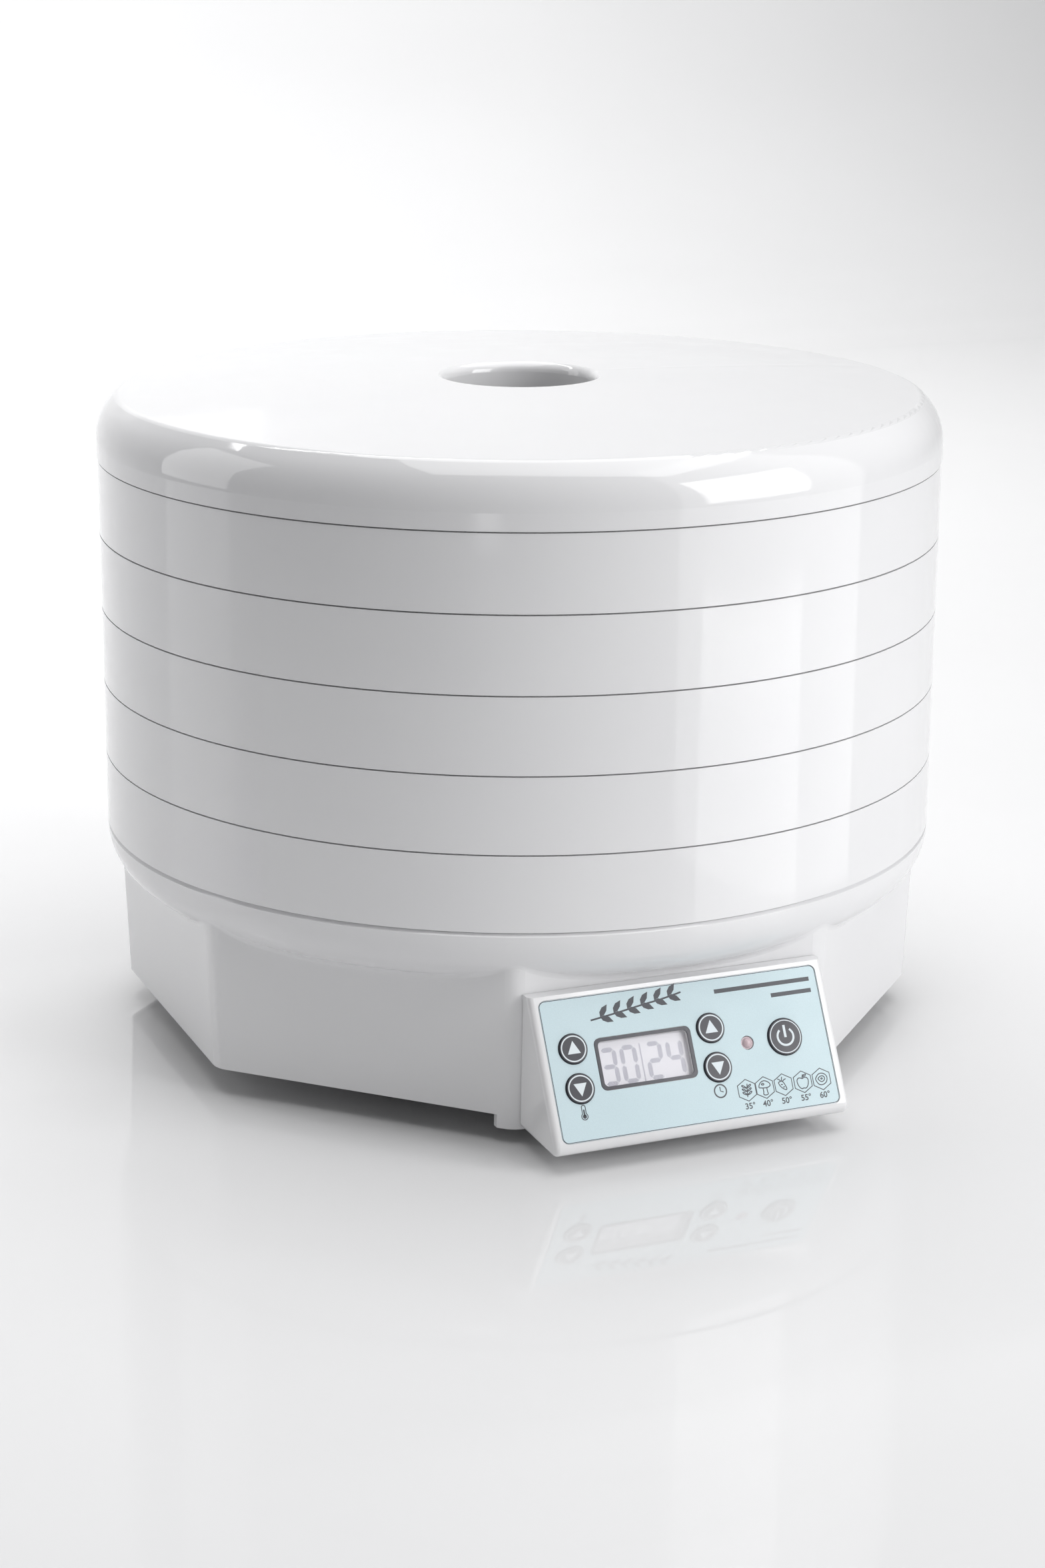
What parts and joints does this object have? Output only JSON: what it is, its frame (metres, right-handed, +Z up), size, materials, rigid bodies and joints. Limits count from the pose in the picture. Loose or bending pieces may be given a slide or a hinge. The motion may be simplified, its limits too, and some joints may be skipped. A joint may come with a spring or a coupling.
{
  "type": "food dehydrator",
  "caption": "Round countertop food dehydrator: stacked lattice trays, vented domed lid, and a faceted fan-heater base with a leaning digital control panel.",
  "frame": {"origin": "on the table, under the vertical axis of the round stack", "axes": "+Z up along the stack's axis, the control panel faces -Y, +X is to the right of someone facing the panel"},
  "size_m": [0.3406, 0.3565, 0.2658],
  "materials": {
    "white_shell": "glossy white moulded ABS",
    "inner_white": "satin white polypropylene",
    "foot_rubber": "soft matt rubber",
    "zinc_steel": "zinc-plated steel",
    "bright_aluminium": "bright rolled aluminium",
    "heater_sheath": "oxidised steel sheath",
    "sensor_black": "matt phenolic",
    "core_steel": "varnished steel laminations",
    "copper_winding": "enamelled copper wire",
    "bronze": "sintered bronze",
    "fan_plastic": "glass-filled nylon, black",
    "board_green": "glass epoxy with green lacquer",
    "component_black": "moulded epoxy",
    "connector_green": "nylon",
    "connector_white": "nylon",
    "ribbon_grey": "PVC-covered flat cable",
    "overlay_film": "pale blue printed polyester film",
    "button_cap": "charcoal satin plastic",
    "bezel_grey": "dark grey satin plastic",
    "pane": "clear acrylic",
    "lcd": "pale liquid crystal glass",
    "lamp": "diffused pink epoxy",
    "gland_black": "black nylon"
  },
  "bodies": {
    "base": {"air_sensor": "sensor_black", "base_housing": "white_shell", "board_screws": "zinc_steel", "bottom_cover": "inner_white", "capacitor": "component_black", "cord_gland": "gland_black", "cover_screws": "zinc_steel", "deck_screws": "zinc_steel", "display_board": "board_green", "drying_deck": "inner_white", "foot_back_left": "foot_rubber", "foot_back_right": "foot_rubber", "foot_front_left": "foot_rubber", "foot_front_right": "foot_rubber", "heat_reflector": "bright_aluminium", "heater_clips": "zinc_steel", "heater_element": "heater_sheath", "indicator_led": "lamp", "lcd_bezel": "bezel_grey", "lcd_panel": "lcd", "lcd_window": "pane", "motor_bolts": "zinc_steel", "motor_bottom_bearing": "bronze", "motor_bottom_strap": "zinc_steel", "motor_bushes": "foot_rubber", "motor_coil": "copper_winding", "motor_plate": "zinc_steel", "motor_plate_screws": "zinc_steel", "motor_spacers": "zinc_steel", "motor_stator": "core_steel", "motor_top_bearing": "bronze", "motor_top_strap": "zinc_steel", "panel_housing": "white_shell", "panel_overlay": "overlay_film", "panel_screws": "zinc_steel", "power_board": "board_green", "relay": "component_black", "ribbon_cable": "ribbon_grey", "ribbon_header": "connector_white", "tact_switches": "component_black", "terminal_block": "connector_green", "thermal_cutout": "sensor_black", "transformer": "component_black"},
    "lid": {"lid": "white_shell"},
    "tray_1": {"tray_1": "white_shell"},
    "tray_2": {"tray_2": "white_shell"},
    "tray_3": {"tray_3": "white_shell"},
    "tray_4": {"tray_4": "white_shell"},
    "tray_5": {"tray_5": "white_shell"},
    "fan": {"motor_rotor": "core_steel", "motor_shaft": "zinc_steel", "fan_impeller": "fan_plastic", "fan_clip": "zinc_steel"},
    "button_temp_up": {"button_temp_up": "button_cap"},
    "button_temp_down": {"button_temp_down": "button_cap"},
    "button_time_up": {"button_time_up": "button_cap"},
    "button_time_down": {"button_time_down": "button_cap"},
    "button_power": {"button_power": "button_cap"}
  },
  "joints": [
    {"name": "tray_5_lift", "type": "slide", "parent": "base", "child": "tray_5", "axis": [0, 0, 1], "range_m": [0, 0.06]},
    {"name": "tray_4_lift", "type": "slide", "parent": "tray_5", "child": "tray_4", "axis": [0, 0, 1], "range_m": [0, 0.06]},
    {"name": "tray_3_lift", "type": "slide", "parent": "tray_4", "child": "tray_3", "axis": [0, 0, 1], "range_m": [0, 0.06]},
    {"name": "tray_2_lift", "type": "slide", "parent": "tray_3", "child": "tray_2", "axis": [0, 0, 1], "range_m": [0, 0.06]},
    {"name": "tray_1_lift", "type": "slide", "parent": "tray_2", "child": "tray_1", "axis": [0, 0, 1], "range_m": [0, 0.06]},
    {"name": "lid_lift", "type": "slide", "parent": "tray_1", "child": "lid", "axis": [0, 0, 1], "range_m": [0, 0.06]},
    {"name": "fan_spin", "type": "hinge", "parent": "base", "child": "fan", "pos_m": [0, 0, 0.07], "axis": [0, 0, 1], "continuous": true},
    {"name": "press_temp_up", "type": "slide", "parent": "base", "child": "button_temp_up", "axis": [0, 0.8746, -0.4848], "range_m": [0, 0.0005], "stiffness_N_per_m": 1500, "springref_m": -0.0004},
    {"name": "press_temp_down", "type": "slide", "parent": "base", "child": "button_temp_down", "axis": [0, 0.8746, -0.4848], "range_m": [0, 0.0005], "stiffness_N_per_m": 1500, "springref_m": -0.0004},
    {"name": "press_time_up", "type": "slide", "parent": "base", "child": "button_time_up", "axis": [0, 0.8746, -0.4848], "range_m": [0, 0.0005], "stiffness_N_per_m": 1500, "springref_m": -0.0004},
    {"name": "press_time_down", "type": "slide", "parent": "base", "child": "button_time_down", "axis": [0, 0.8746, -0.4848], "range_m": [0, 0.0005], "stiffness_N_per_m": 1500, "springref_m": -0.0004},
    {"name": "press_power", "type": "slide", "parent": "base", "child": "button_power", "axis": [0, 0.8746, -0.4848], "range_m": [0, 0.0005], "stiffness_N_per_m": 1500, "springref_m": -0.0004}
  ]
}
